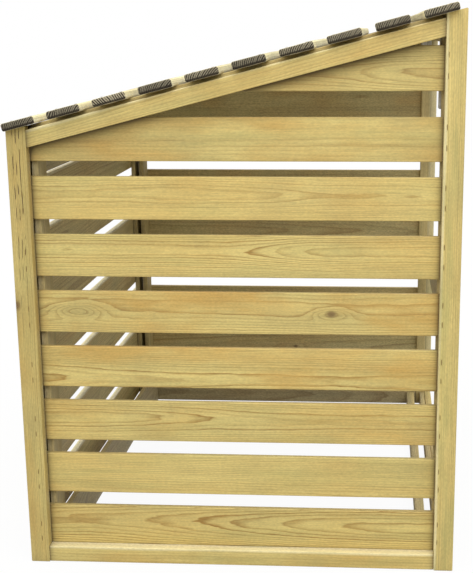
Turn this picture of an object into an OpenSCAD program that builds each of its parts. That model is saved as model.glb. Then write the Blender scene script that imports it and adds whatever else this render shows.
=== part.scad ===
// Slatted timber bin shelter: two side panels, a slatted back, an open front
// crossed by rails, and a lean-to roof of spaced boards.
// Ground level is z = 0, the open front faces +X and the width runs along Y.

/* [Overall] */
// Width over the outer faces of the two side panels
shelter_w = 1380; // [1100:10:1900]
// Depth from the back face to the front face of the posts
shelter_d = 990; // [800:10:1200]
// Height of the roof line at the back face
back_h = 1006; // [985:1:1060]
// Slope of the roof, in degrees
roof_pitch = 14.4; // [10:0.1:20]

/* [Framing timber] */
// Face width of the corner posts
post_w = 44; // [38:1:60]
// Thickness of the posts and rails of the side panels
frame_t = 28; // [22:1:40]
// Face height of the bottom rails
rail_h = 38; // [30:1:50]
// Face height of the sloping top rails
top_rail_h = 37; // [32:1:46]
// Height of the side bottom rails above the ground
rail_lift = 2; // [2:1:10]

/* [Slats] */
// Face width of a slat
slat_w = 95; // [80:1:110]
// Thickness of a slat
slat_t = 16; // [12:1:20]
// Number of slats in a side panel, the one at the top included
side_slats = 9; // [7:1:9]
// How far the lowest side slat laps behind the bottom rail
slat_rail_lap = 2; // [0:1:12]
// Extra gap below the top side slat
top_slat_rise = 21; // [0:1:24]
// Clearance of the top side slat below the top rail, at the front post
top_slat_clear = 18; // [5:1:60]
// How far a slat laps behind a post
slat_lap = 20; // [10:1:21]
// Number of slats in the back panel
back_slats_n = 8; // [6:1:8]
// Height of the lowest back slat above the ground
back_slat_lift = 40; // [20:1:60]
// Height left of the highest back slat, which the roof line cuts
back_top_slat = 87; // [50:1:90]
// Face height of the back top rail, which laps behind the two highest slats
back_rail_h = 108; // [95:1:112]

/* [Back panel and base] */
// Width of the stiles and battens in the back corners
stile_w = 74; // [45:1:95]
// Thickness of the stiles behind the back slats
stile_t = 14; // [12:1:18]
// Distance of the corner battens from the back face
corner_in = 41; // [38:1:46]
// Thickness of the corner battens
corner_t = 15; // [12:1:20]
// Height of the base rails inside the walls
base_h = 40; // [30:1:60]
// Thickness of the side and front base rails
base_t = 24; // [18:1:30]
// Thickness of the board at the foot of the back
base_back_t = 15; // [12:1:24]
// Height of the board at the foot of the back, which hides the space under the slats
base_back_h = 100; // [80:1:110]
// Distance of the front base rail from the front face
base_in = 56; // [50:1:70]

/* [Front] */
// Thickness of the front rails
front_t = 22; // [16:1:26]
// Depth of the battens inside the front posts
batten_d = 27; // [20:1:32]
// Width of the front battens, of the side rafters and of the corner blocks
batten_w = 22; // [16:1:24]
// Height of the middle rail above the ground
middle_z = 466; // [300:1:600]
// Height of the front top rail
header_h = 70; // [45:1:110]
// Height of the board at the foot of the front
kick_h = 38; // [30:1:60]
// Height of the underside of the corner blocks
block_z = 1050; // [980:1:1100]
// How far the corner blocks stand in from the battens
block_in = 5; // [2:1:20]

/* [Roof] */
// Number of roof boards
board_n = 10; // [8:1:11]
// Width of a roof board
board_w = 75; // [60:1:85]
// Thickness of a roof board
board_t = 18; // [12:1:25]
// Overhang of the boards past each side panel
side_over = 22; // [5:1:60]
// Overhang of the lowest board past the back
back_over = 0; // [0:1:40]
// Distance of the highest board behind the front face
front_short = 17; // [0:1:30]
// Drop of the side top rails below the boards
rail_drop = 8; // [1:0.5:10]
// Face height of the rafters
rafter_h = 44; // [35:1:60]
// Thickness of the middle rafter and of the back top rail
rafter_t = 28; // [22:1:34]

/* [Hidden] */

slope = tan(roof_pitch);
half_w = shelter_w / 2;
// The origin is under the middle of the whole shelter, roof overhang included
overhang = back_over * cos(roof_pitch) + board_t * sin(roof_pitch);
x_back = -(shelter_d - overhang) / 2;
x_front = x_back + shelter_d;
wall_t = frame_t + slat_t;
slat_z0 = rail_lift + rail_h - slat_rail_lap;
rail_deep = top_rail_h / cos(roof_pitch);
// The slats share the height below the roof evenly
top_slat_z = roof_z(x_front - post_w) - rail_drop - rail_deep - top_slat_clear - slat_w;
side_pitch = (top_slat_z - top_slat_rise - slat_z0) / (side_slats - 1);
back_pitch = (back_h - back_top_slat - back_slat_lift) / (back_slats_n - 1);
front_rail_x = x_front - front_t;
batten_x = front_rail_x - batten_d;
corner_x = x_back + corner_in + corner_t;
run = shelter_d / cos(roof_pitch);
board_len = shelter_w + 2 * side_over;
board_first = -back_over;
board_last = run - front_short - board_w;
board_step = (board_last - board_first) / (board_n - 1);
reach = shelter_w + shelter_d;

sawn_pine = [0.80, 0.71, 0.44];
shaded_pine = [0.66, 0.57, 0.36];
grey_pine = [0.48, 0.43, 0.34];

// Height of the underside of the roof boards at x
function roof_z(x) = back_h + (x - x_back) * slope;

// Everything below the roof line, less a drop
module under_roof(drop = 0) {
    intersection() {
        children();
        translate([0, reach, 0]) rotate([90, 0, 0]) linear_extrude(2 * reach)
            polygon([[-reach, -reach], [reach, -reach],
                     [reach, roof_z(reach) - drop], [-reach, roof_z(-reach) - drop]]);
    }
}

// A side panel is drawn for the left wall, whose outer face is at y = -half_w;
// the right wall is its mirror image
module on_right() { mirror([0, 1, 0]) children(); }

// Corner post, its head cut to the roof line
module post(x) {
    under_roof() translate([x, -half_w, 0]) cube([post_w, frame_t, reach]);
}

module bottom_rail() {
    translate([x_back + post_w, -half_w, rail_lift])
        cube([shelter_d - 2 * post_w, frame_t, rail_h]);
}

// Sloping top rail, scribed between the posts
module top_rail() {
    x0 = x_back + post_w;
    x1 = x_front - post_w;
    translate([0, -half_w + frame_t, 0]) rotate([90, 0, 0]) linear_extrude(frame_t)
        polygon([[x0, roof_z(x0) - rail_drop - rail_deep], [x1, roof_z(x1) - rail_drop - rail_deep],
                 [x1, roof_z(x1) - rail_drop], [x0, roof_z(x0) - rail_drop]]);
}

// Side slat, nailed behind the posts and cut off under the roof
module side_slat(z) {
    under_roof(rail_drop) translate([x_back + post_w - slat_lap, -half_w + frame_t, z])
        cube([shelter_d - 2 * (post_w - slat_lap), slat_t, slat_w]);
}

module side_slat_set() {
    for (i = [0 : side_slats - 3]) side_slat(slat_z0 + i * side_pitch);
}
module side_upper_slat() { side_slat(slat_z0 + (side_slats - 2) * side_pitch); }
module side_top_slat() { side_slat(top_slat_z); }

// Stile behind the back slats, tight in the corner of the side wall
module back_stile() {
    under_roof() translate([x_back + slat_t, -half_w + wall_t, 0])
        cube([stile_t, stile_w, reach]);
}

// Batten in the back corner, standing clear of the stile
module back_batten() {
    under_roof() translate([x_back + corner_in, -half_w + wall_t, 0])
        cube([corner_t, stile_w, reach]);
}

module front_batten() {
    under_roof() translate([batten_x, -half_w + wall_t, 0])
        cube([batten_d, batten_w, reach]);
}

// Short block at the head of the front batten
module corner_block() {
    under_roof() translate([batten_x - block_in, -half_w + wall_t + batten_w, block_z])
        cube([batten_d + block_in, batten_w, reach]);
}

// Rail across the front, in front of the battens and between the posts
module front_rail(z, h) {
    translate([front_rail_x, -half_w + frame_t, z])
        cube([front_t, shelter_w - 2 * frame_t, h]);
}

module base_side_rail() {
    translate([corner_x, -half_w + wall_t, 0])
        cube([batten_x - corner_x, base_t, base_h]);
}

module base_cross_rail(x, t, h) {
    translate([x, -half_w + wall_t + base_t, 0])
        cube([t, shelter_w - 2 * (wall_t + base_t), h]);
}

// Rafter under the boards, from x0 to x1, its near face at y
module rafter(x0, x1, y, t) {
    deep = rafter_h / cos(roof_pitch);
    translate([0, y + t, 0]) rotate([90, 0, 0]) linear_extrude(t)
        polygon([[x0, roof_z(x0) - deep], [x1, roof_z(x1) - deep],
                 [x1, roof_z(x1)], [x0, roof_z(x0)]]);
}

// The side rafters run between the corner battens, against the slats
module side_rafter() { rafter(corner_x, batten_x, -half_w + wall_t, batten_w); }

// Roof board number i, laid square to the slope
module roof_board(i) {
    if (i < board_n)
        translate([x_back, -board_len / 2, back_h]) rotate([0, -roof_pitch, 0])
            translate([board_first + i * board_step, 0, 0]) cube([board_w, board_len, board_t]);
}

module left_back_post() { color(sawn_pine) post(x_back); }
module left_front_post() { color(sawn_pine) post(x_front - post_w); }
module right_back_post() { color(sawn_pine) on_right() post(x_back); }
module right_front_post() { color(sawn_pine) on_right() post(x_front - post_w); }
module left_bottom_rail() { color(sawn_pine) bottom_rail(); }
module right_bottom_rail() { color(sawn_pine) on_right() bottom_rail(); }
module left_top_rail() { color(sawn_pine) top_rail(); }
module right_top_rail() { color(sawn_pine) on_right() top_rail(); }
module left_slats() { color(sawn_pine) side_slat_set(); }
module left_upper_slat() { color(sawn_pine) side_upper_slat(); }
module left_top_slat() { color(sawn_pine) side_top_slat(); }
module right_slats() { color(sawn_pine) on_right() side_slat_set(); }
module right_upper_slat() { color(sawn_pine) on_right() side_upper_slat(); }
module right_top_slat() { color(sawn_pine) on_right() side_top_slat(); }
module back_left_stile() { color(shaded_pine) back_stile(); }
module back_right_stile() { color(shaded_pine) on_right() back_stile(); }
module back_left_batten() { color(shaded_pine) back_batten(); }
module back_right_batten() { color(shaded_pine) on_right() back_batten(); }
module back_slats() {
    color(sawn_pine) under_roof() for (i = [0 : back_slats_n - 1])
        translate([x_back, -half_w + frame_t, back_slat_lift + i * back_pitch])
            cube([slat_t, shelter_w - 2 * frame_t, slat_w]);
}
// Top rail of the back, between the stiles
module back_top_rail() {
    color(shaded_pine) under_roof()
        translate([x_back + slat_t, -half_w + wall_t + stile_w, back_h + slat_t * slope - back_rail_h])
            cube([rafter_t, shelter_w - 2 * (wall_t + stile_w), 2 * back_rail_h]);
}
module front_left_batten() { color(shaded_pine) front_batten(); }
module front_right_batten() { color(shaded_pine) on_right() front_batten(); }
module front_left_block() { color(grey_pine) corner_block(); }
module front_right_block() { color(grey_pine) on_right() corner_block(); }
module front_top_rail() {
    color(shaded_pine) under_roof() front_rail(roof_z(front_rail_x) - header_h, 2 * header_h);
}
module front_middle_rail() { color(shaded_pine) front_rail(middle_z, slat_w); }
module front_bottom_rail() { color(sawn_pine) front_rail(rail_lift, rail_h); }
// Board along the foot of the front, between the battens
module front_kick_board() {
    color(sawn_pine) translate([front_rail_x - slat_t, -half_w + wall_t + batten_w, rail_lift])
        cube([slat_t, shelter_w - 2 * (wall_t + batten_w), kick_h]);
}
module left_base_rail() { color(sawn_pine) base_side_rail(); }
module right_base_rail() { color(sawn_pine) on_right() base_side_rail(); }
module front_base_rail() { color(sawn_pine) base_cross_rail(x_front - base_in - base_t, base_t, base_h); }
module back_base_rail() { color(sawn_pine) base_cross_rail(corner_x, base_back_t, base_back_h); }
module left_rafter() { color(shaded_pine) side_rafter(); }
module middle_rafter() {
    color(shaded_pine) rafter(x_back + slat_t + rafter_t, front_rail_x, -rafter_t / 2, rafter_t);
}
module right_rafter() { color(shaded_pine) on_right() side_rafter(); }
module roof_board_1() { color(grey_pine) roof_board(0); }
module roof_board_2() { color(grey_pine) roof_board(1); }
module roof_board_3() { color(grey_pine) roof_board(2); }
module roof_board_4() { color(grey_pine) roof_board(3); }
module roof_board_5() { color(grey_pine) roof_board(4); }
module roof_board_6() { color(grey_pine) roof_board(5); }
module roof_board_7() { color(grey_pine) roof_board(6); }
module roof_board_8() { color(grey_pine) roof_board(7); }
module roof_board_9() { color(grey_pine) roof_board(8); }
module roof_board_10() { color(grey_pine) roof_board(9); }

left_back_post();
left_front_post();
right_back_post();
right_front_post();
left_bottom_rail();
right_bottom_rail();
left_top_rail();
right_top_rail();
left_slats();
left_upper_slat();
left_top_slat();
right_slats();
right_upper_slat();
right_top_slat();
back_left_stile();
back_right_stile();
back_left_batten();
back_right_batten();
back_slats();
back_top_rail();
front_left_batten();
front_right_batten();
front_left_block();
front_right_block();
front_top_rail();
front_middle_rail();
front_bottom_rail();
front_kick_board();
left_base_rail();
right_base_rail();
front_base_rail();
back_base_rail();
left_rafter();
middle_rafter();
right_rafter();
roof_board_1();
roof_board_2();
roof_board_3();
roof_board_4();
roof_board_5();
roof_board_6();
roof_board_7();
roof_board_8();
roof_board_9();
roof_board_10();
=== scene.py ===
"""Looks of the slatted timber bin shelter: every timber is a planed or sawn board with eased arrises,
its own growth rings and its own tone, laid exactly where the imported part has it."""
import bpy, math
import numpy as np
from mathutils import Matrix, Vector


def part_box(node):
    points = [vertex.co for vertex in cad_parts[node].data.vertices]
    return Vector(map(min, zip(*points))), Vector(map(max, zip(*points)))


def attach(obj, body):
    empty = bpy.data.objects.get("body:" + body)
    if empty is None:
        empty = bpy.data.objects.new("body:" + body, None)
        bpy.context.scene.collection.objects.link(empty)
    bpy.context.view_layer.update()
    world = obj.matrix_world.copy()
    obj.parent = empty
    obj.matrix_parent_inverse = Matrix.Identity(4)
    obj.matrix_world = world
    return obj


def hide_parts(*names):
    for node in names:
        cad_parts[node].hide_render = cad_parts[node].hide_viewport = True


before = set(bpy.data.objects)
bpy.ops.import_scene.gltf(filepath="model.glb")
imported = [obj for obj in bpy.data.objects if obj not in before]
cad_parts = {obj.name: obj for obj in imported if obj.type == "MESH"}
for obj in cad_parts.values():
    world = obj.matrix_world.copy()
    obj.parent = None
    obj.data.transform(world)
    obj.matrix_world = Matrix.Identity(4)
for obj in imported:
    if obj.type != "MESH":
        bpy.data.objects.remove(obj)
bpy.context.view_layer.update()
MM = 0.001
X, Y, Z = np.eye(3)


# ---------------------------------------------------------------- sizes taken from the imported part

def span(node):
    """Lowest and highest corner of a CAD node as arrays, in metres."""
    lo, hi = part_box(node)
    return np.array(lo), np.array(hi)


back_post, front_post = span("left_back_post"), span("left_front_post")
# The roof line passes through the high corners of the two post heads
SLOPE = (front_post[1][2] - back_post[1][2]) / (front_post[1][0] - back_post[1][0])
PITCH = math.atan(SLOPE)
SLAT_W = span("left_upper_slat")[1][2] - span("left_upper_slat")[0][2]
SIDE_SLATS, BACK_SLATS, ROOF_BOARDS = 7, 8, 10


def roof_line(x):
    """Height of the underside of the roof boards: the post head plus the slope times the run from it."""
    return back_post[1][2] + (x - back_post[1][0]) * SLOPE


def rail_foot(x):
    """Height of the lower edge of the sloping side rails: the foot of their low end plus the slope times
    the run from it."""
    lo, hi = span("left_top_rail")
    return lo[2] + (x - lo[0]) * SLOPE


# ---------------------------------------------------------------- boards

EASE = 2 * MM
# Distance from each arris to the next point on a flat
FLAT_HOLD = 1.5 * MM
# Points in a quarter circle of the section and of a board's end, and points across its wide and narrow faces
ARC_POINTS, CAP_POINTS, WIDE_POINTS, NARROW_POINTS = 5, 4, 8, 3
# How far the planed faces swing in and out, and how far they are sunk so that they stay inside the solid
PLANE_SWING, PLANE_SINK = 0.35 * MM, 0.4 * MM
# Strips of faces round each end that count as sawn
END_STRIPS = 2
# Edges that turn by more degrees than this are drawn sharp
SHARP = 50
LAYERS = ("log", "knot_a", "knot_b", "split", "sapwood_and_highlight", "cover", "tone", "marks")


def board_section(wide, thick, ease):
    """Closed outline of a board's cross section: a rectangle whose four corners are quarter circles of
    radius ease. Each flat has a point 1.5 mm in from its corners, which keeps the shade of the arris off
    the face."""
    turn = np.linspace(0, math.pi / 2, ARC_POINTS)
    arc_v, arc_w = ease * np.sin(turn), ease * np.cos(turn)
    a, b = wide / 2 - ease, thick / 2 - ease
    hold = min(FLAT_HOLD, b / 2)
    across = np.concatenate(([-a + FLAT_HOLD], np.linspace(-a, a, WIDE_POINTS)[1:-1], [a - FLAT_HOLD]))
    deep = (b - hold) * np.linspace(1, -1, NARROW_POINTS)
    edge_v, face_w = np.full(NARROW_POINTS, wide / 2), np.full(WIDE_POINTS, thick / 2)
    v = np.concatenate((across, a + arc_v, edge_v, a + arc_v[::-1],
                        -across, -a - arc_v, -edge_v, -a - arc_v[::-1]))
    w = np.concatenate((face_w, b + arc_w, deep, -b - arc_w[::-1],
                        -face_w, -b - arc_w, -deep, b + arc_w[::-1]))
    return v, w


def timber(start, along, across, out, long, wide, thick, look, ease=EASE, drop=None):
    """One board. A point is start + along * s + across * v + out * w, where (v, w) runs round the section
    and s from end to end. Near the ends the section shrinks along a quarter circle of radius ease, and the
    faces are planed slightly uneven by two slow sines of s, with waves of 1.2 and 0.46 m. A board under the
    roof has its height held to the roof line less drop. What each point carries for its material:
    - log: the place in the log, with the pith behind the face at
      depth + tilt * (s - mid) + bow * (s - mid)^2 + rise * tanh((s - mid) / reach)
    - knot_a, knot_b: the distances along and across from a knot, and its radius
    - split: the distance from a line along the board, the share of the length towards the split end, and
      the strength, which is given below nothing where the split end is the one at s = long
    - sapwood_and_highlight: the distance from the edge of a pale strip, how pale it is, and a number that
      goes from 0 on the outer face to 1 on the inner one, times skin; the strip is sapwood on most boards,
      and a painted highlight on the top edges of the rails and back slats and on the front posts
    - cover: the distances from the back post, from the front post and from the sloping rail where these lie
      over the board, and 1 elsewhere, which set the painted shade beside them; on a front post the first is
      the distance from the seam of its batten, which sets the painted shade beside the batten
    - tone: the brightness, the warmth and the width of a ring
    - marks: the strength of the ring lines, the share of green and the brightness of the sawn ends"""
    v0, w0 = board_section(wide, thick, ease)
    turn = np.linspace(0, math.pi / 2, CAP_POINTS)
    cap = ease * (1 - np.sin(turn))
    run = np.concatenate((ease * (1 - np.cos(turn)), np.linspace(0, long, look["steps"])[1:-1],
                          long - ease * (1 - np.cos(turn[::-1]))))
    run = np.clip(run, 0, long)
    inset = np.concatenate((cap, np.zeros(look["steps"] - 2), cap[::-1]))
    s = run[:, None] + 0 * v0[None, :]
    v = v0[None, :] * (1 - inset[:, None] / (wide / 2))
    w = w0[None, :] * (1 - inset[:, None] / (thick / 2))
    phase = look["phase"]
    swing = np.sin(s * 5.1 + phase + v * 20) + 0.6 * np.sin(s * 13.7 + 2 * phase + v * 31)
    w = w + np.sign(w) * (PLANE_SWING * swing - PLANE_SINK) * np.abs(w) / (thick / 2)
    p = start + s[..., None] * along + v[..., None] * across + w[..., None] * out
    if drop is not None:
        p[..., 2] = np.minimum(p[..., 2], roof_line(p[..., 0]) - drop)

    mid = look["mid"] * long
    depth = (look["depth"] + look["tilt"] * (s - mid) + look["bow"] * (s - mid) ** 2
             + look["rise"] * np.tanh((s - mid) / look["reach"]))
    log = np.stack((s + look["shift"], v - look["pith"], w + depth), -1)
    knots = [np.stack((s - k[0] * long, v - k[1] * wide, 0 * s + k[2]), -1) for k in look["knots"]]
    split_at, strength = look["split"]
    toward_split_end = 1 - s / long if strength > 0 else s / long
    split = np.stack((v - split_at * wide, toward_split_end, 0 * s + abs(strength)), -1)
    strip_at, strip_amount, strip_side = look["sapwood_and_highlight"]
    sapwood_and_highlight = np.stack(((v - strip_at * wide) * strip_side, 0 * s + strip_amount, (0.5 - w / thick) * look["skin"]), -1)

    clear = 0 * s + 1.0
    from_back = p[..., 0] - back_post[1][0] if look["covered"] else clear
    from_front = front_post[0][0] - p[..., 0] if look["covered"] else clear
    from_rail = rail_foot(p[..., 0]) - p[..., 2] if look["covered"] > 1 else clear
    if look["seam"]:
        from_back = np.abs(p[..., 0] - look["seam"]) + w + thick / 2
    return {"p": p, "log": log, "knot_a": knots[0], "knot_b": knots[1], "split": split, "sapwood_and_highlight": sapwood_and_highlight,
            "cover": np.stack((from_back, from_front, from_rail), -1),
            "tone": np.broadcast_to(np.array(look["tone"]), p.shape),
            "marks": np.broadcast_to(np.array(look["marks"]), p.shape)}


def add_to_scene(name, corners, faces):
    """Makes a smooth mesh of these corners and faces, and an object of it at the origin."""
    mesh = bpy.data.meshes.new(name)
    mesh.from_pydata(corners, [], faces)
    mesh.polygons.foreach_set("use_smooth", [True] * len(faces))
    piece = bpy.data.objects.new(name, mesh)
    bpy.context.scene.collection.objects.link(piece)
    return piece


def build(name, boards, cad_node, finish):
    """Joins boards into one piece. On a board's grid each quad joins four neighbours of two rings, and each
    end is closed by its own ring. The end faces carry the value 1 in the sawn attribute."""
    corners, faces, sawn, start = [], [], [], 0
    for b in boards:
        rows, cols = b["p"].shape[:2]
        i, j = np.meshgrid(np.arange(rows - 1), np.arange(cols), indexing="ij")
        k = (j + 1) % cols
        quad = np.stack((i * cols + j, (i + 1) * cols + j, (i + 1) * cols + k, i * cols + k), -1)
        quad = quad.reshape(-1, 4)
        ends = [np.arange(cols), (rows - 1) * cols + np.arange(cols)[::-1]]
        solid = b["p"].reshape(-1, 3)
        a, c = solid[quad[:, 0]], solid[quad[:, 2]]
        normal = np.cross(solid[quad[:, 1]] - a, c - a)
        outward = (normal * ((a + c) / 2 - solid.mean(0))).sum() > 0
        quad = quad if outward else quad[:, ::-1]
        ends = ends if outward else [e[::-1] for e in ends]
        faces += (quad + start).tolist() + [(e + start).tolist() for e in ends]
        strip = (quad // cols).min(1)
        by_end = (strip < END_STRIPS) | (strip > rows - 2 - END_STRIPS)
        sawn += by_end.astype(float).tolist() + [1.0, 1.0]
        corners.append(solid)
        start += len(solid)
    piece = add_to_scene(name, np.concatenate(corners).tolist(), faces)
    mesh = piece.data
    for key in LAYERS:
        values = np.concatenate([b[key].reshape(-1, 3) for b in boards]).ravel()
        mesh.attributes.new(key, "FLOAT_VECTOR", "POINT").data.foreach_set("vector", values)
    mesh.attributes.new("sawn", "FLOAT", "FACE").data.foreach_set("value", sawn)
    mesh.update()
    mesh.set_sharp_from_angle(angle=math.radians(SHARP))
    mesh.materials.append(finish)
    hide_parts(cad_node)
    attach(piece, "root")


# ---------------------------------------------------------------- finishes

def srgb(code):
    """Linear colour of a hex value: a channel c is c / 12.92 up to 0.04045, and ((c + 0.055) / 1.055) ^ 2.4
    above it."""
    c = np.array([int(code[i:i + 2], 16) for i in (1, 3, 5)]) / 255
    return (*np.where(c <= 0.04045, c / 12.92, ((c + 0.055) / 1.055) ** 2.4).tolist(), 1.0)


def add(tree, kind, inputs=None, **settings):
    """Adds one node with its settings, and sets each input to a value or links it to a node or socket."""
    n = tree.nodes.new("ShaderNode" + kind)
    for key, value in settings.items():
        setattr(n, key, value)
    for key, value in (inputs or {}).items():
        if isinstance(value, bpy.types.Node):
            tree.links.new(value.outputs[0], n.inputs[key])
        elif isinstance(value, bpy.types.NodeSocket):
            tree.links.new(value, n.inputs[key])
        else:
            n.inputs[key].default_value = value
    return n


def stops(ramp, points):
    """Fills a colour ramp with (position, colour) pairs; a plain number stands for that grey."""
    band = ramp.color_ramp
    while len(band.elements) < len(points):
        band.elements.new(0.5)
    for e, (at, c) in zip(band.elements, points):
        e.position, e.color = at, c if isinstance(c, tuple) else (c, c, c, 1.0)
    return ramp


def new_finish(name):
    """Empty material with its node tree."""
    finish = bpy.data.materials.new(name)
    finish.use_nodes = True
    finish.node_tree.nodes.clear()
    return finish, finish.node_tree


# Patterns in the log's own coordinates. Each gives how many times per metre it changes along, across and
# behind the board, and its detail and roughness. The real fibres are 0.04 mm wide, too fine to show.
GRAIN = {
    "wave": ((3.2, 24.0, 24.0), 1.0, 0.4),        # bends the rings, 300 mm long and 40 mm wide
    "wobble": ((17.0, 85.0, 85.0), 2.0, 0.55),    # bends them more finely, 60 mm long and 12 mm wide
    "fibre": ((9.0, 620.0, 620.0), 3.0, 0.6),     # 110 mm long and 1.6 mm wide, coarser than real fibres
    "streak": ((7.0, 270.0, 270.0), 2.0, 0.6),    # 140 mm long and 4 mm wide
    "mottle": ((150.0, 360.0, 360.0), 1.0, 0.5),  # 7 mm long and 3 mm wide
    "pore": ((38.0, 460.0, 460.0), 1.0, 0.5),     # 26 mm long and 2 mm wide, coarser than real pores
    "tan": ((4.0, 11.0, 11.0), 3.0, 0.55),        # 250 mm long and 90 mm wide
    "copper": ((3.9, 33.8, 33.8), 2.0, 0.5),      # green of the preservative, 260 mm long and 30 mm wide
    "band": ((0.9, 42.0, 42.0), 2.0, 0.5),        # 1.1 m long and 24 mm wide
    "drift": ((7.0, 0.0, 0.0), 3.0, 0.5),         # moves the splits sideways, 140 mm long
    "torn": ((22.0, 170.0, 0.0), 2.0, 0.5),       # breaks the splits up, 45 mm long and 6 mm wide
    "speck": ((420.0, 420.0, 420.0), 3.0, 0.7),   # open pores of the end grain, 2.4 mm across
}
# How far the two bends move a ring at most
WAVE_SWING, WOBBLE_SWING = 5.5 * MM, 2.2 * MM
# Round a knot the fibres swell 3.4 times as far along the board as across it, and its eye is 1.5 times as
# long as wide
SWELL_LONG, EYE_LONG = 3.4, 1.5
# Splits are 1.6 mm wide and 7.6 mm apart, within 12.5 mm of their line, and drift by up to 9 mm
SPLIT_HALF, SPLIT_STEP, SPLIT_KEEP, SPLIT_DRIFT = 0.8 * MM, 3.8 * MM, 12.5 * MM, 9 * MM
# A knot moves the rings by up to 1.5 times its radius and darkens its swirl by up to 0.16
KNOT_PUSH, KNOT_FALL, KNOT_SHADE = 1.5, -0.35, -0.16
# The sapwood colour also gives painted highlights on the top edges of the rails and back slats and on the
# front posts
SAPWOOD_AND_HIGHLIGHT, KNOT_BROWN, SPLIT_BROWN = "#F8EAB4", "#6E5230", "#4A3820"
# The seam brown is painted shade, for the corners beside the posts and battens and under the sloping rail
# The weathered grey is painted shade, for the faces of the roof boards turned to the sky
# The wet-foot colour is painted shade, for the lower part of the sawn ends
CONTACT_SHADE_BROWN, HANDLING_DIRT, UNDERSIDE_SHADE, TOP_FACE_SHADE = "#46371F", "#8A7A52", "#241C12", "#B9B7B0"


def treated_pine(name, pale, dark, warm, green, end_pale, end_dark, ring_show=0.8, rough=0.62, hatch=0.0,
                 dirt=0.25, skin="#DADDF6", top_shade=0.0):
    """Pressure-treated pine, planed or sawn: straw to greenish earlywood, browner latewood lines every 3 to
    7 mm that follow the growth rings of the board's own log, fibres along it, knots with a dark eye, tan
    and green patches of the preservative, and open-pored end grain that is darker than the faces. ring_show
    is the strength of the latewood lines, hatch that of the saw strokes on the ends and dirt that of the
    grime; the last two give the tint of the painted shade on the inner face, and how far painted shade greys
    the outer one."""
    finish, t = new_finish(name)
    log = add(t, "Attribute", attribute_name="log").outputs["Vector"]
    tone = add(t, "SeparateXYZ", {0: add(t, "Attribute", attribute_name="tone").outputs["Vector"]})
    marks = add(t, "SeparateXYZ", {0: add(t, "Attribute", attribute_name="marks").outputs["Vector"]})
    sapwood_and_highlight = add(t, "SeparateXYZ", {0: add(t, "Attribute", attribute_name="sapwood_and_highlight").outputs["Vector"]})
    cover = add(t, "SeparateXYZ", {0: add(t, "Attribute", attribute_name="cover").outputs["Vector"]})
    crack = add(t, "SeparateXYZ", {0: add(t, "Attribute", attribute_name="split").outputs["Vector"]})
    sawn = add(t, "Attribute", attribute_name="sawn").outputs["Fac"]
    inside = sapwood_and_highlight.outputs["Z"]
    grain = {}
    for key, (often, detail, roughness) in GRAIN.items():
        scaled = add(t, "VectorMath", {0: log, 1: often}, operation="MULTIPLY")
        grain[key] = add(t, "TexNoise", {"Vector": scaled, "Scale": 1.0, "Detail": detail,
                                         "Roughness": roughness}).outputs[0]

    # Growth rings: the distance from the pith, bent by the two waves, in steps of one ring
    off_pith = add(t, "VectorMath", {0: log, 1: (0, 1, 1)}, operation="MULTIPLY")
    radius = add(t, "VectorMath", {0: off_pith}, operation="LENGTH").outputs["Value"]
    path = add(t, "Math", {0: grain["wave"], 1: WAVE_SWING, 2: radius}, operation="MULTIPLY_ADD")
    path = add(t, "Math", {0: grain["wobble"], 1: WOBBLE_SWING, 2: path}, operation="MULTIPLY_ADD")
    swells, eyes = [], []
    for which in ("knot_a", "knot_b"):
        off = add(t, "SeparateXYZ", {0: add(t, "Attribute", attribute_name=which).outputs["Vector"]})
        size = add(t, "Math", {0: off.outputs["Z"]}, operation="ABSOLUTE")
        across = add(t, "Math", {0: off.outputs["Y"], 1: 2.0}, operation="POWER")
        # The swell falls off as e ^ (-0.35 * distance ^ 2), with the distance in radii of the knot
        along = add(t, "Math", {0: off.outputs["X"], 1: SWELL_LONG}, operation="DIVIDE")
        along = add(t, "Math", {0: along, 1: 2.0}, operation="POWER")
        away = add(t, "Math", {0: along, 1: across})
        away = add(t, "Math", {0: away, 1: add(t, "Math", {0: size, 1: size}, operation="MULTIPLY")},
                   operation="DIVIDE")
        swell = add(t, "Math", {0: add(t, "Math", {0: away, 1: KNOT_FALL}, operation="MULTIPLY")},
                    operation="EXPONENT")
        bulge = add(t, "Math", {0: swell, 1: size}, operation="MULTIPLY")
        path = add(t, "Math", {0: bulge, 1: KNOT_PUSH, 2: path}, operation="MULTIPLY_ADD")
        swells.append(swell)
        # The eye darkens from its rim to its middle
        along = add(t, "Math", {0: off.outputs["X"], 1: EYE_LONG}, operation="DIVIDE")
        along = add(t, "Math", {0: along, 1: 2.0}, operation="POWER")
        away = add(t, "Math", {0: add(t, "Math", {0: along, 1: across}), 1: 0.5}, operation="POWER")
        away = add(t, "Math", {0: away, 1: size}, operation="DIVIDE")
        eye = stops(add(t, "ValToRGB", {0: add(t, "Math", {0: away, 1: 0.5}, operation="MULTIPLY")}),
                    [(0.0, 1.0), (0.3, 0.85), (0.5, 0.4), (0.72, 0.0)])
        # A radius below nothing stands for fibres that swirl round a knot which lies deeper in the board
        shows = add(t, "Math", {0: off.outputs["Z"], 1: 0.0}, operation="GREATER_THAN")
        eyes.append(add(t, "Math", {0: eye, 1: shows}, operation="MULTIPLY"))
    count = add(t, "Math", {0: path, 1: tone.outputs["Z"]}, operation="DIVIDE")
    part = add(t, "Math", {0: count}, operation="FRACT")
    ring = stops(add(t, "ValToRGB", {0: part}),
                 [(0.0, 0.0), (0.5, 0.05), (0.8, 0.7), (0.91, 1.0), (1.0, 0.0)])
    # Each ring has a strength of its own
    own = add(t, "TexWhiteNoise", {"W": add(t, "Math", {0: count}, operation="FLOOR")},
              noise_dimensions="1D")
    strength = add(t, "Math", {0: own, 1: 0.75, 2: 0.35}, operation="MULTIPLY_ADD")
    late = add(t, "Math", {0: strength, 1: ring}, operation="MULTIPLY")
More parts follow.
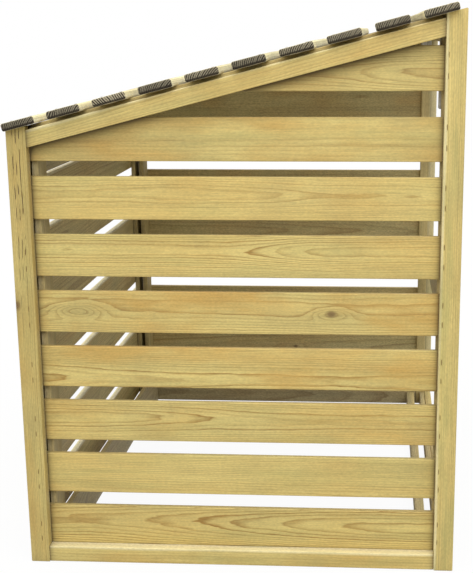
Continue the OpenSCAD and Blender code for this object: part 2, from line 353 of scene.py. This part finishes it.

    # Colour of the faces: earlywood, latewood lines, tan patches, pale strips and green patches; a pale strip
    # is sapwood on most boards and a painted highlight on the top edges of the rails and back slats and on
    # the front posts
    lines = add(t, "Math", {0: late, 1: ring_show}, operation="MULTIPLY")
    lines = add(t, "Math", {0: lines, 1: marks.outputs["X"]}, operation="MULTIPLY", use_clamp=True)
    face = add(t, "Mix", {0: lines, 6: srgb(pale), 7: srgb(dark)}, data_type="RGBA").outputs[2]
    tan = stops(add(t, "ValToRGB", {0: grain["tan"]}), [(0.42, 0.0), (0.70, 1.0)])
    tan = add(t, "Math", {0: tan, 1: tone.outputs["Y"]}, operation="MULTIPLY")
    face = add(t, "Mix", {0: tan, 6: face, 7: srgb(warm)}, data_type="RGBA").outputs[2]
    pale_edge = add(t, "Math", {0: grain["wave"], 1: 0.012, 2: sapwood_and_highlight.outputs["X"]}, operation="MULTIPLY_ADD")
    pale_side = add(t, "MapRange", {"Value": pale_edge, "From Min": 0.0085, "From Max": 0.0035,
                                    "To Min": 0.0, "To Max": 1.0})
    pale_side = add(t, "Math", {0: pale_side, 1: sapwood_and_highlight.outputs["Y"]}, operation="MULTIPLY")
    face = add(t, "Mix", {0: pale_side, 6: face, 7: srgb(SAPWOOD_AND_HIGHLIGHT)}, data_type="RGBA").outputs[2]
    copper = stops(add(t, "ValToRGB", {0: grain["copper"]}), [(0.46, 0.0), (0.72, 1.0)])
    copper = add(t, "Math", {0: copper, 1: marks.outputs["Y"]}, operation="MULTIPLY")
    face = add(t, "Mix", {0: copper, 6: face, 7: srgb(green)}, data_type="RGBA").outputs[2]

    # Lightness: fibres, bands where the wood takes up more or less preservative, streaks, a mottle that is
    # stronger on the less smooth inner face, and pores, all times the board's own brightness
    light = add(t, "Math", {0: grain["fibre"], 1: 0.34, 2: 0.83}, operation="MULTIPLY_ADD")
    for key in ("band", "streak"):
        swing = add(t, "Math", {0: grain[key], 1: 0.36, 2: -0.18}, operation="MULTIPLY_ADD")
        light = add(t, "Math", {0: swing, 1: light})
    coarse = add(t, "Math", {0: inside, 1: 0.55, 2: 0.34}, operation="MULTIPLY_ADD")
    mottle = add(t, "Math", {0: grain["mottle"], 1: 0.5}, operation="SUBTRACT")
    light = add(t, "Math", {0: mottle, 1: coarse, 2: light}, operation="MULTIPLY_ADD")
    pores = stops(add(t, "ValToRGB", {0: grain["pore"]}), [(0.30, 1.0), (0.40, 0.0)])
    light = add(t, "Math", {0: pores, 1: -0.08, 2: light}, operation="MULTIPLY_ADD")
    light = add(t, "Math", {0: light, 1: tone.outputs["X"]}, operation="MULTIPLY")
    # The swirl round a knot is a little darker, and its eye is dark brown
    swirl = add(t, "Math", {0: swells[0], 1: swells[1]}, operation="MAXIMUM")
    light = add(t, "Math", {0: swirl, 1: KNOT_SHADE, 2: light}, operation="MULTIPLY_ADD")
    face = add(t, "VectorMath", {0: face, "Scale": light}, operation="SCALE")
    knot = add(t, "Math", {0: eyes[0], 1: eyes[1]}, operation="MAXIMUM")
    knot = add(t, "Math", {0: knot, 1: 0.85}, operation="MULTIPLY")
    face = add(t, "Mix", {0: knot, 6: face, 7: srgb(KNOT_BROWN)}, data_type="RGBA").outputs[2]

    # The face turned to the inside is multiplied by a darker, cooler tint: painted shade for the inside of
    # the shelter
    inner_shade_mix = add(t, "Math", {0: inside, 1: 0.9}, operation="MULTIPLY", use_clamp=True)
    face = add(t, "Mix", {0: inner_shade_mix, 6: face, 7: srgb(skin)}, data_type="RGBA",
               blend_type="MULTIPLY").outputs[2]

    # Painted shade greys the face turned to the sky, darkening it in place of a weaker overhead light
    top_shade_mix = add(t, "MapRange", {"Value": inside, "From Min": 0.10, "From Max": 0.02,
                                   "To Min": 0.0, "To Max": top_shade})
    face = add(t, "Mix", {0: top_shade_mix, 6: face, 7: srgb(TOP_FACE_SHADE)}, data_type="RGBA",
               blend_type="MULTIPLY").outputs[2]

    # Painted shade where a post or the sloping rail lies over the board, on its outer face, and on a front
    # post
    # beside its batten: it falls off as e ^ (-k * distance), with k of 170 per metre beside a post and 110
    # and 28 under the rail
    fall = {}
    for cause, axis, k in (("back", "X", 170.0), ("front", "Y", 170.0), ("rail", "Z", 110.0),
                           ("soft", "Z", 28.0)):
        power = add(t, "Math", {0: cover.outputs[axis], 1: -k}, operation="MULTIPLY")
        fall[cause] = add(t, "Math", {0: power}, operation="EXPONENT")
    by_rail = add(t, "Math", {0: fall["soft"], 1: 0.18, 2: fall["rail"]}, operation="MULTIPLY_ADD")
    by_post = add(t, "Math", {0: fall["back"], 1: fall["front"]})
    contact_shade = add(t, "Math", {0: by_post, 1: by_rail}, use_clamp=True)
    outside = add(t, "Math", {0: 1.0, 1: inside}, operation="SUBTRACT", use_clamp=True)
    contact_shade = add(t, "Math", {0: contact_shade, 1: outside}, operation="MULTIPLY")
    contact_shade = add(t, "Math", {0: contact_shade, 1: 0.9}, operation="MULTIPLY")
    face = add(t, "Mix", {0: contact_shade, 6: face, 7: srgb(CONTACT_SHADE_BROWN)}, data_type="RGBA").outputs[2]

    # Drying splits: thin dark lines along the board that wander, come and go, and die out along it
    side = add(t, "Math", {0: grain["drift"], 1: SPLIT_DRIFT, 2: crack.outputs["X"]},
               operation="MULTIPLY_ADD")
    thin = add(t, "Math", {0: side, 1: SPLIT_STEP}, operation="PINGPONG")
    thin = add(t, "Math", {0: thin, 1: SPLIT_HALF}, operation="LESS_THAN")
    keep = add(t, "Math", {0: add(t, "Math", {0: side}, operation="ABSOLUTE"), 1: SPLIT_KEEP},
               operation="LESS_THAN")
    torn = stops(add(t, "ValToRGB", {0: grain["torn"]}), [(0.49, 0.0), (0.56, 1.0)])
    fade = stops(add(t, "ValToRGB", {0: crack.outputs["Y"]}), [(0.45, 0.0), (0.85, 1.0)])
    split = add(t, "Math", {0: thin, 1: keep}, operation="MULTIPLY")
    split = add(t, "Math", {0: split, 1: torn}, operation="MULTIPLY")
    split = add(t, "Math", {0: split, 1: fade}, operation="MULTIPLY")
    split = add(t, "Math", {0: split, 1: crack.outputs["Z"]}, operation="MULTIPLY")
    face = add(t, "Mix", {0: split, 6: face, 7: srgb(SPLIT_BROWN)}, data_type="RGBA").outputs[2]

    # Handling dirt and mill grime in soft patches 140 mm across
    where = add(t, "TexCoord").outputs["Object"]
    grime = add(t, "TexNoise", {"Vector": where, "Scale": 7.0, "Detail": 5.0, "Roughness": 0.6})
    grime = stops(add(t, "ValToRGB", {0: grime}), [(0.5, 0.0), (0.78, 1.0)])
    grime = add(t, "Math", {0: grime, 1: dirt}, operation="MULTIPLY")
    face = add(t, "Mix", {0: grime, 6: face, 7: srgb(HANDLING_DIRT)}, data_type="RGBA").outputs[2]

    # End grain: the same rings seen end on, open pores, and saw strokes 4 mm apart where there is a hatch
    cut = add(t, "TexWave", {"Vector": log, "Scale": 90.0, "Distortion": 2.0, "Detail": 2.0,
                             "Detail Scale": 2.0}, bands_direction="DIAGONAL").outputs["Fac"]
    rings = stops(add(t, "ValToRGB", {0: part}),
                  [(0.0, 0.0), (0.3, 0.1), (0.5, 1.0), (0.85, 1.0), (1.0, 0.0)])
    rings = add(t, "Math", {0: rings, 1: strength}, operation="MULTIPLY")
    open_end = add(t, "Math", {0: grain["speck"], 1: 0.9, 2: -0.22}, operation="MULTIPLY_ADD")
    open_end = add(t, "Math", {0: rings, 1: 1.2, 2: open_end}, operation="MULTIPLY_ADD")
    cut = add(t, "Math", {0: cut, 1: hatch}, operation="MULTIPLY")
    open_end = add(t, "Math", {0: cut, 1: open_end}, use_clamp=True)
    end = add(t, "Mix", {0: open_end, 6: srgb(end_pale), 7: srgb(end_dark)}, data_type="RGBA").outputs[2]
    end = add(t, "VectorMath", {0: end, "Scale": marks.outputs["Z"]}, operation="SCALE")
    # The lower part of an end is painted nearly black: painted shade for the dark slot under the roof boards
    foot = add(t, "MapRange", {"Value": inside, "From Min": 0.62, "From Max": 0.72,
                               "To Min": 0.0, "To Max": 0.85})
    end = add(t, "Mix", {0: foot, 6: end, 7: srgb(UNDERSIDE_SHADE)}, data_type="RGBA").outputs[2]
    colour = add(t, "Mix", {0: sawn, 6: face, 7: end}, data_type="RGBA").outputs[2]

    # Fibres and latewood stand proud, and splits lie deep
    relief = add(t, "Math", {0: grain["fibre"], 1: 0.5}, operation="MULTIPLY")
    relief = add(t, "Math", {0: late, 1: 0.35, 2: relief}, operation="MULTIPLY_ADD")
    relief = add(t, "Math", {0: split, 1: -2.5, 2: relief}, operation="MULTIPLY_ADD")
    bump = add(t, "Bump", {"Strength": 0.55, "Distance": 0.6 * MM, "Height": relief})
    # Latewood is smoother, and the open pores of an end leave it dull
    gloss = add(t, "Math", {0: late, 1: -0.12, 2: rough}, operation="MULTIPLY_ADD")
    gloss = add(t, "Math", {0: sawn, 1: 0.3, 2: gloss}, operation="MULTIPLY_ADD", use_clamp=True)
    shader = add(t, "BsdfPrincipled", {"Base Color": colour, "Roughness": gloss, "IOR": 1.47, "Normal": bump})
    add(t, "OutputMaterial", {"Surface": shader})
    return finish


# Planed pine of the side panels and framing: smooth, straw coloured with tan figure, a faint satin
planed = treated_pine("planed_treated_pine", pale="#E0CB80", dark="#A07B3A", warm="#D2A95A", green="#B5AD6A",
                      end_pale="#C9B684", end_dark="#8F7B4C")
# The same pine in darker, browner colours for the pieces inside the shelter: painted shade for the shade
# under the roof; the planer left it duller there, and the grime stays
inner = treated_pine("planed_treated_pine_inside_painted_shade", pale="#CDBA7E", dark="#967A46", warm="#B79A60",
                     green="#9C946A", end_pale="#A8976C", end_dark="#6E5F40", rough=0.7, dirt=0.4)
# Sawn roof boards: paler faces, and end grain that has drunk dirt and preservative, brown-grey with saw
# strokes; their top faces are greyed by painted shade
roofing = treated_pine("sawn_treated_pine_roof", pale="#FDF3C2", dark="#C3AE74", warm="#DCC78C",
                       green="#C6C18E", end_pale="#AEA489", end_dark="#2B241A", ring_show=0.7, rough=0.75,
                       hatch=0.15, top_shade=0.85)
# Offcut block: rough grey sawn wood, in colours paler than its own that stand in for light it lacks in the
# shade of the roof: painted light
offcut = treated_pine("rough_sawn_offcut", pale="#DEDAD0", dark="#B5AEA0", warm="#CEC7BA", green="#C6C3B8",
                      end_pale="#C8BEAE", end_dark="#8F8678", rough=0.85, dirt=0.4, skin="#F4F4F4")


# ---------------------------------------------------------------- every timber of the shelter

SEEDS = np.random.default_rng(41)
# A step along a board, and the fewest and the most steps on one
STEP, FEWEST, MOST = 22 * MM, 10, 64
RAIL_EASE, ROOF_EASE = 1.6 * MM, 4.5 * MM
# How far the slats and rails under the roof end below its line, and the posts, given below nothing as they
# reach a little over it
DROP = roof_line(span("left_top_rail")[1][0]) - span("left_top_rail")[1][2]
POST_DROP = -0.8 * MM
# A knot that lies past the end of any board
NO_KNOT = (9.0, 0, 0.001)


def figure(long, wide, **given):
    """Look of one board: a random place in a log, a ring width of 3.8 to 6.8 mm and a tone, with any value
    given instead. Here mid is a share of the length; covered is 0 where nothing lies over the board, 1
    where posts do, and 2 where the sloping rail does too, which is where painted shade is laid beside them;
    seam is the x of the batten's face beside a front post, and 0 on other boards; and skin is the strength of
    the painted shade on the inner face."""
    r = SEEDS.random(20)
    knot = (r[10], 0.7 * (r[11] - 0.5), (0.004 + 0.005 * r[12]) if r[13] > 0.55 else 0.0005)
    look = {"steps": int(min(MOST, max(FEWEST, long / STEP))), "phase": 6.28 * r[0], "mid": 0.2 + 0.6 * r[1],
            "depth": 0.012 + 0.075 * r[2], "tilt": 0.05 * (r[3] - 0.5), "bow": 0.05 * (r[4] - 0.3),
            "shift": 20 * r[5], "pith": wide * (r[6] - 0.5) * 0.9,
            "tone": (0.94 + 0.12 * r[7], 0.25 + 0.5 * r[8], 0.0038 + 0.003 * r[9]), "knots": [knot, NO_KNOT],
            "split": (0.0, 0.0), "sapwood_and_highlight": (r[14] - 0.5, 0.35 * (r[15] - 0.5), 1.0),
            "rise": 0.012 * (r[16] - 0.5), "reach": 0.25, "covered": 0, "seam": 0.0, "skin": 1.0,
            "marks": (0.75 + 0.4 * r[17], 0.2 + 0.25 * r[18], 0.85 + 0.3 * r[19])}
    look.update(given)
    return look


def upright(node, drop=None, outward=1, **given):
    """Board that stands on end: its length runs up, its wider side across, and its thinner side out."""
    lo, hi = span(node)
    size, mid = hi - lo, (lo + hi) / 2
    across, out = (X, Y) if size[0] >= size[1] else (Y, X)
    start = np.array((mid[0], mid[1], lo[2]))
    look = figure(size[2], size @ across, **given)
    return [timber(start, Z, across, out * outward, size[2], size @ across, size @ out, look, drop=drop)]


def level(node, axis, out, count=1, drop=None, figures=None):
    """Level boards along axis, count of them one above another at even steps between the node's foot and
    head. What figures gives for a number, counted from the lowest, holds for that board."""
    lo, hi = span(node)
    size = hi - lo
    high = SLAT_W if count > 1 else size[2]
    boards = []
    for n in range(count):
        rise = n * (size[2] - high) / (count - 1) if count > 1 else 0.0
        start = (lo + hi) / 2 - axis * (size @ axis) / 2
        start[2] = lo[2] + rise + high / 2
        look = figure(size @ axis, high, **(figures or {}).get(n, {}))
        boards.append(timber(start, axis, Z, out, size @ axis, high, abs(size @ out), look, drop=drop))
    return boards


def sloping(node, out, **given):
    """Board that follows the roof with both ends cut plumb: its length is sheared along the slope."""
    lo, hi = span(node)
    long, thick = hi[0] - lo[0], hi[1] - lo[1]
    deep = (hi[2] - lo[2]) - SLOPE * long
    start = np.array((lo[0], (lo[1] + hi[1]) / 2, lo[2] + deep / 2))
    look = figure(long, deep, **given)
    return [timber(start, X + SLOPE * Z, Z, out, long, deep, thick, look, RAIL_EASE)]


def roof_board(node, **given):
    """Board laid square to the slope, along Y. Its width and thickness come from its box: with c and s the
    cosine and sine of the pitch, the box is width * c + thickness * s long and width * s + thickness * c
    high."""
    lo, hi = span(node)
    c, s = math.cos(PITCH), math.sin(PITCH)
    run, long, rise = hi - lo
    wide, thick = (c * run - s * rise) / (c * c - s * s), (c * rise - s * run) / (c * c - s * s)
    start = (lo + hi) / 2 - Y * long / 2
    look = figure(long, wide, **given)
    return [timber(start, Y, c * X + s * Z, c * Z - s * X, long, wide, thick, look, ROOF_EASE)]


STRAIGHT = dict(bow=0.0, rise=0.0, knots=[NO_KNOT, NO_KNOT])
PLAIN = dict(STRAIGHT, tilt=0.0, sapwood_and_highlight=(0, 0, 1), covered=2)

# Side slats from the lowest up, each with its own figure. Where rise isn't 0, the ring lines close to points
# along the middle of the board, and open again on its other side.
slat_figures = {
    0: dict(PLAIN, depth=0.06152, rise=-0.0087, reach=0.27, mid=0.48, pith=0.0095,
            tone=(0.935, 0.30, 0.0029), marks=(1.6, 0.25, 1)),
    1: dict(PLAIN, depth=0.060, tilt=0.003, pith=-0.065, tone=(1.015, 0.35, 0.0033), marks=(0.85, 0.35, 1)),
    2: dict(PLAIN, depth=0.03977, rise=0.00435, reach=0.20, mid=0.42, pith=0.006,
            tone=(0.99, 0.55, 0.0029), marks=(1.3, 0.3, 1)),
    3: dict(PLAIN, depth=0.04305, rise=0.003, reach=0.12, mid=0.12, pith=-0.026,
            tone=(0.99, 0.85, 0.0030), marks=(1.3, 0.2, 1)),
    4: dict(PLAIN, depth=0.06483, pith=0.012, tone=(0.98, 1.0, 0.0030), marks=(1.1, 0.1, 1),
            knots=[(0.725, 0.0, 0.0075), (0.115, 0.03, -0.0095)]),
    5: dict(PLAIN, depth=0.02527, rise=-0.00435, reach=0.09, mid=0.60, pith=0.014,
            tone=(1.0, 0.45, 0.0029), marks=(1.3, 0.3, 1)),
    6: dict(PLAIN, depth=0.03525, rise=0.0027, reach=0.08, mid=0.64, pith=0.009,
            tone=(1.015, 0.4, 0.0027), marks=(0.85, 0.25, 1)),
}
plain_slats = {n: dict(covered=2) for n in range(SIDE_SLATS)}
upper_slat = dict(PLAIN, depth=0.085, tilt=0.001, pith=0.02, tone=(0.93, 0.8, 0.0040), marks=(0.6, 0.35, 1))
top_slat = dict(PLAIN, depth=0.03551, rise=-0.0048, reach=0.12, mid=0.72, pith=-0.011,
                tone=(0.96, 0.5, 0.0032), marks=(0.9, 0.2, 1))
# On the bottom and top side rails the pale strip along the top edge is a painted highlight
bottom_rail = dict(STRAIGHT, depth=0.04, pith=-0.05, tilt=0.004, covered=1, marks=(0.55, 0.4, 1),
                   sapwood_and_highlight=(0.36, 0.8, -1))
top_rail = dict(STRAIGHT, depth=0.05, tilt=0.005, pith=0.035, tone=(0.985, 0.55, 0.0032), marks=(0.8, 0.3, 1),
                sapwood_and_highlight=(0.40, 1.0, -1), covered=1)
back_corner = dict(tone=(0.86, 0.4, 0.0034))
# The front face of the battens, where the posts stand past them; the painted shade on the front posts is
# measured from it
batten_seam = span("front_left_batten")[1][0]

for side, sign in (("left", -1.0), ("right", 1.0)):
    out = Y * sign
    near = side == "left"
    # On the front posts the pale strip is painted light: a painted highlight along one edge of the near post,
    # and all over the far one, which stands in shade
    posts = {
        "back_post": dict(STRAIGHT, depth=0.03, pith=0.05, tilt=0.003, tone=(0.84, 0.65, 0.0030),
                          marks=(0.95, 0.35, 1), sapwood_and_highlight=(0, 0, 1), split=(0.10, -1.0 if near else 0.0),
                          knots=[(0.61, -0.42, 0.007), NO_KNOT]),
        "front_post": dict(STRAIGHT, depth=0.05, pith=-0.05, tilt=0.003, tone=(0.945, 0.2, 0.0030),
                           marks=(0.6, 0.75, 1), sapwood_and_highlight=(-0.40 if near else 0.6, 0.9, 1), skin=0.2,
                           seam=batten_seam),
    }
    for kind, look in posts.items():
        node = side + "_" + kind
        build(node + "_timber", upright(node, POST_DROP, sign, **look), node, planed)
    node = side + "_bottom_rail"
    build(node + "_timber", level(node, X, out, figures={0: bottom_rail}), node, planed)
    node = side + "_top_rail"
    build(node + "_timber", sloping(node, out, **top_rail), node, planed)
    node = side + "_slats"
    boards = level(node, X, out, SIDE_SLATS, figures=slat_figures if near else plain_slats)
    build(side + "_slat_boards", boards, node, planed)
    for kind, look in (("_upper_slat", upper_slat), ("_top_slat", top_slat)):
        node = side + kind
        build(node + "_board", level(node, X, out, 1, DROP, {0: look}), node, planed)
    for node in ("back_" + side + "_stile", "back_" + side + "_batten"):
        build(node + "_board", upright(node, 0.0, **back_corner), node, inner)
    node = "front_" + side + "_batten"
    boards = upright(node, 0.0, skin=0.2, tone=(1.0, 0.4, 0.0034))
    build(node + "_timber", boards, node, inner)
    node = "front_" + side + "_block"
    build(node + "_offcut", upright(node, 0.0), node, offcut)
    node = side + "_base_rail"
    build(node + "_timber", level(node, X, out), node, inner)
    node = side + "_rafter"
    build(node + "_timber", sloping(node, out), node, inner)

# The pale strip along the top edge of each back slat is a painted highlight
back_figures = {n: dict(sapwood_and_highlight=(0.455, 1.0, -1)) for n in range(BACK_SLATS)}
boards = level("back_slats", Y, -X, BACK_SLATS, 0.0, back_figures)
build("back_slat_boards", boards, "back_slats", planed)
for node, kind, out, drop, finish in (("back_top_rail", "_timber", -X, 0.0, inner),
                                      ("front_top_rail", "_timber", X, 0.0, planed),
                                      ("front_middle_rail", "_board", X, None, planed),
                                      ("front_bottom_rail", "_timber", X, None, planed),
                                      ("front_kick_board", "_timber", X, None, inner),
                                      ("front_base_rail", "_timber", X, None, inner),
                                      ("back_base_rail", "_timber", -X, None, inner)):
    build(node + kind, level(node, Y, out, 1, drop), node, finish)
build("middle_rafter_timber", sloping("middle_rafter", Y), "middle_rafter", inner)

# Where the pith of each roof board lies, across and behind, its ring width, and how pale its sawn ends are
roof_ends = [(0.075, 0.06, 0.0040, 0.8), (0.08, 0.06, 0.0041, 1.0), (-0.08, 0.04, 0.0048, 1.6),
             (0.065, 0.06, 0.0040, 0.85), (0.055, 0.05, 0.0042, 1.15), (0.08, 0.05, 0.0041, 0.85),
             (0.075, 0.06, 0.0042, 1.1), (0.07, 0.06, 0.0040, 1.05), (0.06, 0.05, 0.0041, 0.95),
             (0.07, 0.06, 0.0042, 1.1)]
for n, (pith, depth, ring, end_tone) in enumerate(roof_ends, 1):
    node = "roof_board_%d" % n
    boards = roof_board(node, pith=pith, depth=depth, tilt=0.004, bow=0.0, rise=0.0,
                        tone=(0.97 + 0.03 * (n % 3), 0.3, ring), marks=(0.9, 0.3, end_tone))
    build(node + "_timber", boards, node, roofing)


# ---------------------------------------------------------------- nails

# Points round a nail head, and the share of its radius and the height in mm of each of its rings
HEAD_POINTS = 14
HEAD_RINGS = ((1.0, -0.2), (0.9, 0.3), (0.6, 0.14), (0.25, 0.1))


def nail_heads(name, centres, long_way, cross_way, out, half_long, half_cross, finish):
    """Shallow dished ovals, all in one piece. With angle a and share k of the radius, a point is its centre
    + long_way * half_long * k * cos a + cross_way * half_cross * k * sin a + out * height, where the height
    is 0.2 mm under the face at the rim, 0.3 mm over it just inside the rim, and 0.1 mm in the dish."""
    a = np.linspace(0, 2 * math.pi, HEAD_POINTS, endpoint=False)
    k = np.array([ring[0] for ring in HEAD_RINGS])[:, None]
    high = np.array([ring[1] for ring in HEAD_RINGS])[:, None] * MM + 0 * a
    oval = ((half_long * k * np.cos(a))[..., None] * long_way
            + (half_cross * k * np.sin(a))[..., None] * cross_way + high[..., None] * out)
    centres = np.array(centres)
    points = (centres[:, None, None, :] + oval[None]).reshape(-1, 3)
    i, j = np.meshgrid(np.arange(len(HEAD_RINGS) - 1), np.arange(HEAD_POINTS), indexing="ij")
    n = (j + 1) % HEAD_POINTS
    inward = (i + 1) * HEAD_POINTS
    quad = np.stack((i * HEAD_POINTS + j, i * HEAD_POINTS + n, inward + n, inward + j), -1).reshape(-1, 4)
    middle = inward.max() + np.arange(HEAD_POINTS)
    if np.dot(np.cross(long_way, cross_way), out) < 0:
        quad, middle = quad[:, ::-1], middle[::-1]
    firsts = np.arange(len(centres)) * len(HEAD_RINGS) * HEAD_POINTS
    faces = [f for first in firsts for f in (quad + first).tolist() + [(middle + first).tolist()]]
    piece = add_to_scene(name, points.tolist(), faces)
    piece.data.materials.append(finish)
    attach(piece, "root")


def driven_steel(name, light, dark, metal, rough):
    """Driven steel heads: one colour with specks of a darker one, 1 mm across, where dirt or rust shows."""
    finish, t = new_finish(name)
    where = add(t, "TexCoord").outputs["Object"]
    speck = add(t, "TexNoise", {"Vector": where, "Scale": 900.0, "Detail": 3.0, "Roughness": 0.65})
    tint = stops(add(t, "ValToRGB", {0: speck}), [(0.35, srgb(dark)), (0.65, srgb(light))])
    bump = add(t, "Bump", {"Strength": 0.4, "Distance": 0.2 * MM, "Height": speck})
    shader = add(t, "BsdfPrincipled", {"Base Color": tint, "Metallic": metal, "Roughness": rough,
                                       "Normal": bump})
    add(t, "OutputMaterial", {"Surface": shader})
    return finish


# Brads punched under the face, their slots dark with stain, so that no metal shows
punched = driven_steel("stained_brad_slots", "#9C8048", "#6E5630", 0.0, 0.8)
# Clout nails on the roof and the back, whose zinc has dulled to a soft grey
zinc = driven_steel("dull_zinc_clout_nails", "#9C9C95", "#6A665C", 0.8, 0.5)

# Half the length and half the width of a brad's slot, and half the width of a clout nail's head on the
# back and on the roof
BRAD_LONG, BRAD_WIDE, BACK_HEAD, ROOF_HEAD = 7 * MM, 0.9 * MM, 3 * MM, 3.2 * MM
# How far below the roof line the last brads are
BRAD_CLEAR = 40 * MM
slat_lo, slat_hi = span("left_slats")
lows = np.append(np.linspace(slat_lo[2], slat_hi[2] - SLAT_W, SIDE_SLATS),
                 [span("left_upper_slat")[0][2], span("left_top_slat")[0][2]])
# Each post has a row of brads at this x, two to a slat, at these shares of the slat's width
brad_rows = ((back_post[1][0] - 15 * MM, (0.23, 0.62)), (front_post[0][0] + 6.5 * MM, (0.34, 0.80)))
for side, sign in (("left", -1.0), ("right", 1.0)):
    face = sign * abs(back_post[0][1])
    spots = [(x, face, z + SLAT_W * at) for z in lows for x, shares in brad_rows for at in shares
             if z + SLAT_W * at < roof_line(x) - BRAD_CLEAR]
    nail_heads(side + "_post_brads", spots, Z, X, Y * sign, BRAD_LONG, BRAD_WIDE, punched)

back_lo, back_hi = span("back_slats")
back_lows = np.linspace(back_lo[2], roof_line(back_lo[0]) - SLAT_W, BACK_SLATS)
from_end = 38 * MM
spots = [(back_lo[0], y, z + SLAT_W * at) for z in back_lows for at in (0.26, 0.70)
         for y in (back_lo[1] + from_end, back_hi[1] - from_end)]
nail_heads("back_slat_nails", spots, Z, Y, -X, BACK_HEAD, BACK_HEAD, zinc)

up, over = math.cos(PITCH) * Z - math.sin(PITCH) * X, math.cos(PITCH) * X + math.sin(PITCH) * Z
half_board, from_middle = 9 * MM, 22 * MM
over_sides = slat_lo[1] - 12 * MM
spots = []
for n in range(1, ROOF_BOARDS + 1):
    lo, hi = span("roof_board_%d" % n)
    centre = (lo + hi) / 2 + up * half_board
    spots += [centre + over * a + Y * y for a in (-from_middle, from_middle)
              for y in (over_sides, 0.0, -over_sides)]
nail_heads("roof_nails", spots, Y, over, up, ROOF_HEAD, ROOF_HEAD, zinc)


# ---------------------------------------------------------------- floor, light and camera

def seen_by_eye(tree):
    """Node that gives 1 to the rays of the camera, of reflections and of clear materials, and 0 to others."""
    rays = add(tree, "LightPath")
    seen = add(tree, "Math", {0: rays.outputs["Is Camera Ray"], 1: rays.outputs["Is Glossy Ray"]},
               operation="MAXIMUM")
    return add(tree, "Math", {0: seen, 1: rays.outputs["Is Transmission Ray"]}, operation="MAXIMUM")


HALF_FLOOR = 9.0
floor = add_to_scene("studio_floor", [(x * HALF_FLOOR, y * HALF_FLOOR, 0)
                                      for x, y in ((-1, -1), (1, -1), (1, 1), (-1, 1))], [(0, 1, 2, 3)])
paper, t = new_finish("white_studio_paper")
seen = seen_by_eye(t)
# Grey to the light that it passes on, and white to the eye outside the shadow
sheet = add(t, "Mix", {0: seen, 6: srgb("#9E9D98"), 7: srgb("#E2E2E0")}, data_type="RGBA").outputs[2]
pale = add(t, "BsdfDiffuse", {"Color": sheet})
glow = add(t, "Emission", {"Color": srgb("#FFFFFF"), "Strength": 1.0})
share = add(t, "Math", {0: seen, 1: 0.94}, operation="MULTIPLY")
add(t, "OutputMaterial", {"Surface": add(t, "MixShader", {0: share, 1: pale, 2: glow})})
floor.data.materials.append(paper)

world = bpy.data.worlds.new("studio")
bpy.context.scene.world = world
world.use_nodes = True
t = world.node_tree
t.nodes.clear()
# Soft light from all round, brightest overhead: its strength is 0.1 plus 1.9 times the upward part of the
# ray's direction
lift = add(t, "SeparateXYZ", {0: add(t, "TexCoord").outputs["Generated"]}).outputs["Z"]
lift = add(t, "Math", {0: lift, 1: 0.0}, operation="MAXIMUM")
lift = add(t, "Math", {0: lift, 1: 1.9, 2: 0.1}, operation="MULTIPLY_ADD")
sky = add(t, "Background", {"Color": srgb("#FFFFFF"), "Strength": lift})
white = add(t, "Background", {"Color": srgb("#FFFFFF"), "Strength": 1.0})
add(t, "OutputWorld", {"Surface": add(t, "MixShader", {0: seen_by_eye(t), 1: sky, 2: white})})


def place(thing, right, above, behind, at):
    """Puts a lamp or camera at a point, with its own X, Y and Z axes along the three given ones."""
    bpy.context.scene.collection.objects.link(thing)
    turn = np.stack((right, above, behind), 1).tolist()
    thing.matrix_world = Matrix([(*row, p) for row, p in zip(turn, at)] + [(0, 0, 0, 1)])


def softbox(name, at, aim, size, power):
    """Square lamp of that size at one point, facing another: its -Z axis runs along the line between them,
    and its X axis is level."""
    lamp = bpy.data.lights.new(name, "AREA")
    lamp.shape, lamp.size, lamp.energy = "SQUARE", size, power
    behind = np.array(at, float) - np.array(aim, float)
    behind /= np.linalg.norm(behind)
    right = np.cross(Z, behind)
    right /= np.linalg.norm(right)
    place(bpy.data.objects.new(name, lamp), right, np.cross(behind, right), behind, at)


softbox("front_softbox", at=(0.8, -3.3, 2.6), aim=(0, -0.5, 0.6), size=1.8, power=38)

# Camera 2.6 m out from the left panel, at the height of the roof: turned 3.7 degrees to the left of square,
# tipped 14.2 degrees down, and leaning by a quarter of a degree
TURN, TIP, LEAN = 0.0647539, -0.2483471, 0.0041200
CAMERA_AT = (0.31637, -3.32318, 1.21740)
SENSOR, LENS = 36.0, 76.89047
SHIFT_X, SHIFT_Y = -0.1108202, 0.0933682
cz, sz, ct, st = math.cos(TURN), math.sin(TURN), math.cos(TIP), math.sin(TIP)
cr, sr = math.cos(LEAN), math.sin(LEAN)
right, ahead, above = (np.array([[cz, -sz, 0], [sz, cz, 0], [0, 0, 1]])
                       @ np.array([[1, 0, 0], [0, ct, -st], [0, st, ct]])
                       @ np.array([[cr, 0, sr], [0, 1, 0], [-sr, 0, cr]])).T
view = bpy.data.cameras.new("camera")
view.sensor_fit, view.sensor_width, view.lens = "AUTO", SENSOR, LENS
view.shift_x, view.shift_y = SHIFT_X, SHIFT_Y
view.clip_end = 60.0
camera = bpy.data.objects.new("camera", view)
place(camera, right, above, -ahead, CAMERA_AT)
bpy.context.scene.camera = camera
bpy.context.scene.view_settings.view_transform = "Standard"
